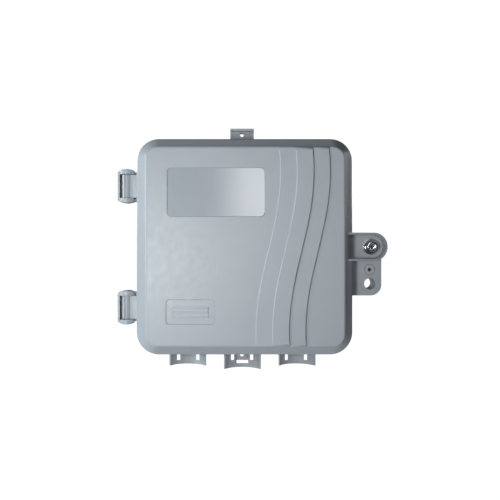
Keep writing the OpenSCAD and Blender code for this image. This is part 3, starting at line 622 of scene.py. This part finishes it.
def hinge_bracket(z):
    """Two domed ears, the web outside them and the arms that carry them."""
    half = KNUCKLE_HALF + EAR_GAP + EAR_T
    inner = KNUCKLE_HALF + EAR_GAP
    outside = HINGE_X - EAR_R
    web = block((outside, HINGE_Y - 4.2, z - half + WEB_INSET),
                (outside + WEB_T, -PLATE_BACK, z + half - WEB_INSET))
    join(web, block((outside, -PLATE_BACK - 4, z - inner - ARM_T),
                    (-BASE_HALF + ROOT, -PLATE_BACK, z + inner + ARM_T)))
    for side in (-1, 1):
        span = sorted((z + side * inner, z + side * half))
        ear = rod_z(HINGE_X, HINGE_Y, EAR_R, *span)
        meet(ear, rod_y(DOME_X, z + side * (half - DOME_TRIM - DOME_R), DOME_R, 10, 60, 256))
        low, high = sorted((z + side * inner, z + side * (inner + ARM_T)))
        join(ear, block((HINGE_X - 2, 0.6 - SKIRT_BACK, low), (-BASE_HALF + ROOT, -PLATE_BACK + 3, high)))
        join(web, ear)
    return cut(web, rod_z(HINGE_X, HINGE_Y, PIN_R + EAR_PLAY, z - half - PAST, z + half + PAST, 32))


def latch_lug():
    """Lug behind the cover's hasp plate, hollow from the back."""
    def outline(inset):
        left, right = LUG_LEFT + inset, HASP_RIGHT - inset
        low, r = HASP_BOTTOM + inset, HASP_R - inset
        foot = arc(right - r, low + r, r, -90, 0, 24)
        head = arc(LATCH_X, LATCH_Z, POCKET_R - inset, 25, 90, 20)
        return foot + [(right, head[0][1])] + head + [(left, POCKET_R - inset), (left, low)]

    lug = facing(outline(0), LUG_BACK, LUG_FRONT)
    cut(lug, facing(outline(LUG_WALL), LUG_BACK - PAST, LUG_FRONT - LUG_FACE))
    neck_front = 0.7 - SKIRT_BACK
    join(lug,
         rod_y(LATCH_X, LATCH_Z, INSERT_BOSS_R, LUG_BACK, LUG_FRONT - 1),
         rod_y(LATCH_X, PADLOCK_Z, PADLOCK_BOSS_R, LUG_BACK, LUG_FRONT - 1),
         rod_y(LATCH_X, SEAL_Z, SEAL_BOSS_R, LUG_BACK, LUG_FRONT - 1),
         block((BASE_HALF - ROOT, neck_front, HASP_BOTTOM + 8), (LUG_LEFT + 2, 4 - LUG_BACK, POCKET_R - 4)))
    return cut(lug,
               rod_y(LATCH_X, LATCH_Z, RING_SEAT_R, INSERT_FRONT, LUG_FRONT + PAST),
               rod_y(LATCH_X, LATCH_Z, INSERT_R, LUG_BACK - PAST, INSERT_FRONT + 0.5),
               rod_y(LATCH_X, PADLOCK_Z, PADLOCK_R, LUG_BACK - PAST, LUG_FRONT + PAST),
               rod_y(LATCH_X, SEAL_Z, SEAL_R, LUG_BACK + 3, LUG_FRONT + PAST, 32))


def saddle(i):
    """Trough for a cable on two ribs, with slots for a cable tie."""
    x = i * SADDLE_PITCH
    end = SADDLE_ENDS[i + 1]
    middle_y = -(TROUGH_BOTTOM + TROUGH_R)
    reach = math.degrees(math.asin(SADDLE_HALF / (TROUGH_R + TROUGH_T)))
    outer = arc(x, middle_y, TROUGH_R + TROUGH_T, 90 - reach, 90 + reach, 40)
    limit = math.degrees(math.acos((-TROUGH_FRONT - middle_y) / TROUGH_R))
    inner = arc(x, middle_y, TROUGH_R, 90 + limit, 90 - limit, 40)
    rim = [(x - SADDLE_HALF, -TROUGH_FRONT)]
    trough = upright(outer + rim + inner + [(x + SADDLE_HALF, -TROUGH_FRONT)], -end, -BASE_HALF + ROOT)
    for side in (-1, 1):
        rib = x + side * RIB_X
        join(trough, block((rib - RIB_HALF, -RIB_FRONT, -end + 3), (rib + RIB_HALF, 0, -BASE_HALF + ROOT)))
    for side in (-1, 1):
        slot = x + side * TIE_SLOT_X
        outline = round_rect(slot - TIE_SLOT_HALF, -TIE_SLOT_LOW,
                             slot + TIE_SLOT_HALF, -TIE_SLOT_HIGH, TIE_SLOT_R, 4)
        cut(trough, facing(outline, -PAST, TROUGH_FRONT + PAST))
    if i == 0:
        window = rectangle(x - WINDOW_HALF, WINDOW_FOOT - end, x + WINDOW_HALF, WINDOW_HIGH)
        cut(trough, facing(window, -PAST, TROUGH_FRONT))
    return trough


def wall_tabs():
    """Tabs for the two wall screws, the upper one with its lip."""
    low, high = box_mm("top_tab")
    tab = block((low.x, -TOP_TAB_T, BASE_HALF - ROOT), (high.x, 0, high.z))
    join(tab, block((low.x, low.y, high.z - TOP_LIP_T), (high.x, 0, high.z)))
    cut(tab, rod_y(0, TOP_SCREW_Z, SCREW_R, -PAST, 12, 32))
    low, high = box_mm("bottom_tab")
    lower = block((low.x, low.y, low.z), (high.x, 0, ROOT - BASE_HALF))
    cut(lower, rod_y(0, BOTTOM_SCREW_Z, SCREW_R, -PAST, 4, 32))
    return tab, lower


def web_end(edge):
    """True at the ends of the hinge brackets' webs, which run out against the round ears."""
    end_z = KNUCKLE_HALF + EAR_GAP + EAR_T - WEB_INSET
    inner_x = HINGE_X - EAR_R + 2.5
    return all(end.co.x / MM < inner_x and abs(abs(abs(end.co.z / MM) - HINGE_Z) - end_z) < 0.05
               for end in edge.verts)


def base_skin():
    half = BASE_HALF
    skin = facing(round_rect(-half, -half, half, half, BASE_R, 20), 0, BASE_RIM)
    inside = half - BASE_WALL
    hollow = round_rect(-inside, -inside, inside, inside, BASE_R - BASE_WALL, 20)
    cut(skin, facing(hollow, BASE_FLOOR, BASE_RIM + PAST))
    join(skin, hinge_bracket(HINGE_Z), hinge_bracket(-HINGE_Z), latch_lug())
    join(skin, *[saddle(i) for i in (-1, 0, 1)])
    join(skin, *wall_tabs())
    bosses = [(side * x, z, BOSS_TOP) for side in (-1, 1) for x, z in BOSS_PLACES]
    bosses += [(i * SADDLE_PITCH + side * CLAMP_BOSS_X, CLAMP_BOSS_Z, CLAMP_BOSS_TOP)
               for i in (-1, 0, 1) for side in (-1, 1)]
    join(skin, *[rod_y(x, z, BOSS_R, BASE_FLOOR - ROOT, top, 32) for x, z, top in bosses])
    cut(skin, *[rod_y(x, z, PILOT_R, 1.5, top + PAST, 24) for x, z, top in bosses])
    cut(skin, *[rod_z(i * SADDLE_PITCH, -PORT_Y, PORT_R, -half - PAST, -half + BASE_WALL + PAST)
                for i in (-1, 0, 1)])
    return finish_piece(skin, "base_moulding", "base", SLOTS["shell_plastic"],
                        MOULDED_EDGE,
                        ["base_shell", "hinge_bracket_upper", "hinge_bracket_lower", "latch_lug",
                         "saddle_left", "saddle_middle", "saddle_right", "top_tab", "bottom_tab"],
                        left_sharp=web_end)


# ---- bolt ---------------------------------------------------------------------------


def bolt_skin():
    """Flanged hex bolt with a domed, dished head."""
    tip = -BOLT_HIGH.y
    front = -BOLT_LOW.y
    head_back = front - HEAD_T
    flange_back = head_back - FLANGE_T
    hexagon = facing(circle(LATCH_X, LATCH_Z, HEX_R, 6), head_back - 1.2, front)
    dome = turned(LATCH_X, LATCH_Z, [(10, head_back - 1.3), (10, front - 2.6), (6.2, front - 0.9),
                                     (5.6, front - 0.35), (5.0, front)])
    meet(hexagon, dome)
    bolt = turned(LATCH_X, LATCH_Z, [(2.3, tip), (3.1, tip + 0.9), (3.1, flange_back),
                                     (8.0, flange_back + 0.02), (8.2, flange_back + 0.3),
                                     (8.2, flange_back + 1.0), (7.9, flange_back + 1.4),
                                     (6.6, flange_back + 2.0), (5.2, head_back + 0.2)])
    join(bolt, hexagon)
    dish = turned(LATCH_X, LATCH_Z, [(1.6, front - 1.4), (2.6, front - 1.15), (3.2, front - 0.5),
                                     (3.5, front + 0.1), (3.6, front + PAST)])
    cut(bolt, dish)
    ring_low, ring_high = box_mm("retaining_ring")
    neck = rod_y(LATCH_X, LATCH_Z, 5, -ring_high.y - 0.02, -ring_low.y + 0.02)
    cut(neck, rod_y(LATCH_X, LATCH_Z, NECK_R, -ring_high.y - PAST, -ring_low.y + PAST))
    cut(bolt, neck)
    return finish_piece(bolt, "flange_bolt", "bolt", SLOTS["plated_steel"], BOLT_EDGE,
                        ["security_bolt"], 2)


# ---- the other CAD nodes ------------------------------------------------------------


def dress(node, slot):
    """Gives a CAD node its material and softens its edges."""
    piece = nodes[node]
    piece.data.materials.clear()
    piece.data.materials.append(SLOTS[slot])
    for face in piece.data.polygons:
        face.use_smooth = True
    weld = piece.modifiers.new("weld", "WELD")
    weld.merge_threshold = 0.002 * MM
    bevel(piece, CAD_EDGE, 2, CAD_ROUNDED_FROM)
    even_normals(piece)


cover_skin()
base_skin()
bolt_skin()
for part in frame["record"]["subparts"]:
    dress(part["node"], part["material_slot"])


# ---- studio ---------------------------------------------------------------------------


def look_at(thing, target):
    thing.rotation_euler = (Vector(target) - thing.location).to_track_quat("-Z", "Y").to_euler()


def area_light(name, place, target, size, power, colour):
    data = bpy.data.lights.new(name, "AREA")
    data.shape = "RECTANGLE"
    data.size, data.size_y = size
    data.energy = power
    data.color = colour
    light = bpy.data.objects.new(name, data)
    bpy.context.scene.collection.objects.link(light)
    light.location = place
    light.visible_camera = False
    look_at(light, target)


def white_to_camera(tree, shader, output):
    """The camera sees plain white, and everything else sees the given shader."""
    path = tree.nodes.new("ShaderNodeLightPath")
    white = tree.nodes.new("ShaderNodeEmission")
    white.inputs["Color"].default_value = (1, 1, 1, 1)
    white.inputs["Strength"].default_value = 1.05
    mix = tree.nodes.new("ShaderNodeMixShader")
    tree.links.new(path.outputs["Is Camera Ray"], mix.inputs["Fac"])
    tree.links.new(shader, mix.inputs[1])
    tree.links.new(white.outputs["Emission"], mix.inputs[2])
    tree.links.new(mix.outputs["Shader"], output)


def world():
    made = bpy.data.worlds.new("studio")
    made.use_nodes = True
    tree = made.node_tree
    background = tree.nodes["Background"]
    background.inputs["Color"].default_value = (0.86, 0.92, 1.0, 1)
    background.inputs["Strength"].default_value = 0.03
    white_to_camera(tree, background.outputs["Background"], tree.nodes["World Output"].inputs["Surface"])
    bpy.context.scene.world = made


def floor():
    """Pale floor well below the box."""
    made = bpy.data.materials.new("floor")
    made.use_nodes = True
    tree = made.node_tree
    shader = tree.nodes["Principled BSDF"]
    shader.inputs["Base Color"].default_value = (0.85, 0.86, 0.88, 1)
    shader.inputs["Roughness"].default_value = 0.9
    white_to_camera(tree, shader.outputs["BSDF"], tree.nodes["Material Output"].inputs["Surface"])
    bm = bmesh.new()
    bmesh.ops.create_grid(bm, x_segments=1, y_segments=1, size=6)
    mesh = bpy.data.meshes.new("floor")
    bm.to_mesh(mesh)
    bm.free()
    plane = bpy.data.objects.new("floor", mesh)
    bpy.context.scene.collection.objects.link(plane)
    plane.location = (0, 0, -0.6)
    mesh.materials.append(made)


def reflector():
    """Softbox behind the camera, seen only in reflections: it fades in from its left edge."""
    made = bpy.data.materials.new("softbox")
    made.use_nodes = True
    tree = made.node_tree
    tree.nodes.remove(tree.nodes["Principled BSDF"])
    place = tree.nodes.new("ShaderNodeTexCoord")
    split = tree.nodes.new("ShaderNodeSeparateXYZ")
    fade = tree.nodes.new("ShaderNodeMapRange")
    fade.interpolation_type = "SMOOTHSTEP"
    fade.inputs["From Min"].default_value = -0.5
    fade.inputs["From Max"].default_value = -0.15
    fade.inputs["To Max"].default_value = 8.0
    glow = tree.nodes.new("ShaderNodeEmission")
    glow.inputs["Color"].default_value = (0.98, 0.99, 1.0, 1)
    tree.links.new(place.outputs["Object"], split.inputs["Vector"])
    tree.links.new(split.outputs["X"], fade.inputs["Value"])
    tree.links.new(fade.outputs["Result"], glow.inputs["Strength"])
    tree.links.new(glow.outputs["Emission"], tree.nodes["Material Output"].inputs["Surface"])
    bm = bmesh.new()
    bmesh.ops.create_grid(bm, x_segments=1, y_segments=1, size=0.5)
    mesh = bpy.data.meshes.new("softbox")
    bm.to_mesh(mesh)
    bm.free()
    mesh.materials.append(made)
    card = bpy.data.objects.new("softbox", mesh)
    bpy.context.scene.collection.objects.link(card)
    card.location = (0.20, -1.8, 0.26)
    card.rotation_euler = (math.radians(90), 0, 0)
    card.scale = (0.52, 0.40, 1)
    card.visible_camera = False
    card.visible_diffuse = False


def camera():
    data = bpy.data.cameras.new("camera")
    data.lens = 40.82
    data.sensor_width = 36
    data.shift_x = 0.0671
    data.shift_y = -0.0065
    made = bpy.data.objects.new("camera", data)
    bpy.context.scene.collection.objects.link(made)
    made.location = (-0.030, -0.671, 0)
    made.rotation_euler = (math.radians(90), 0, 0)
    bpy.context.scene.camera = made


camera()
world()
floor()
reflector()
area_light("key", (-0.17, -0.58, -0.03), (-0.03, -0.08, 0), (0.10, 0.10), 1.75, (1.0, 1.0, 1.0))
area_light("side", (-0.90, -0.36, 0.16), (0, -0.08, 0), (0.15, 0.3), 5.5, (0.86, 0.93, 1.0))
area_light("low_fill", (-0.1, -0.4, -0.6), (0, -0.06, 0), (0.4, 0.2), 0.2, (0.7, 0.86, 1.0))
area_light("back_right", (0.9, 0.95, 0.35), (0, -0.03, 0), (0.5, 0.5), 7, (1.0, 1.0, 1.0))
area_light("back_left", (-0.9, 0.95, 0.35), (0, -0.03, 0), (0.5, 0.5), 7, (1.0, 1.0, 1.0))
bpy.context.scene.view_settings.view_transform = "Standard"
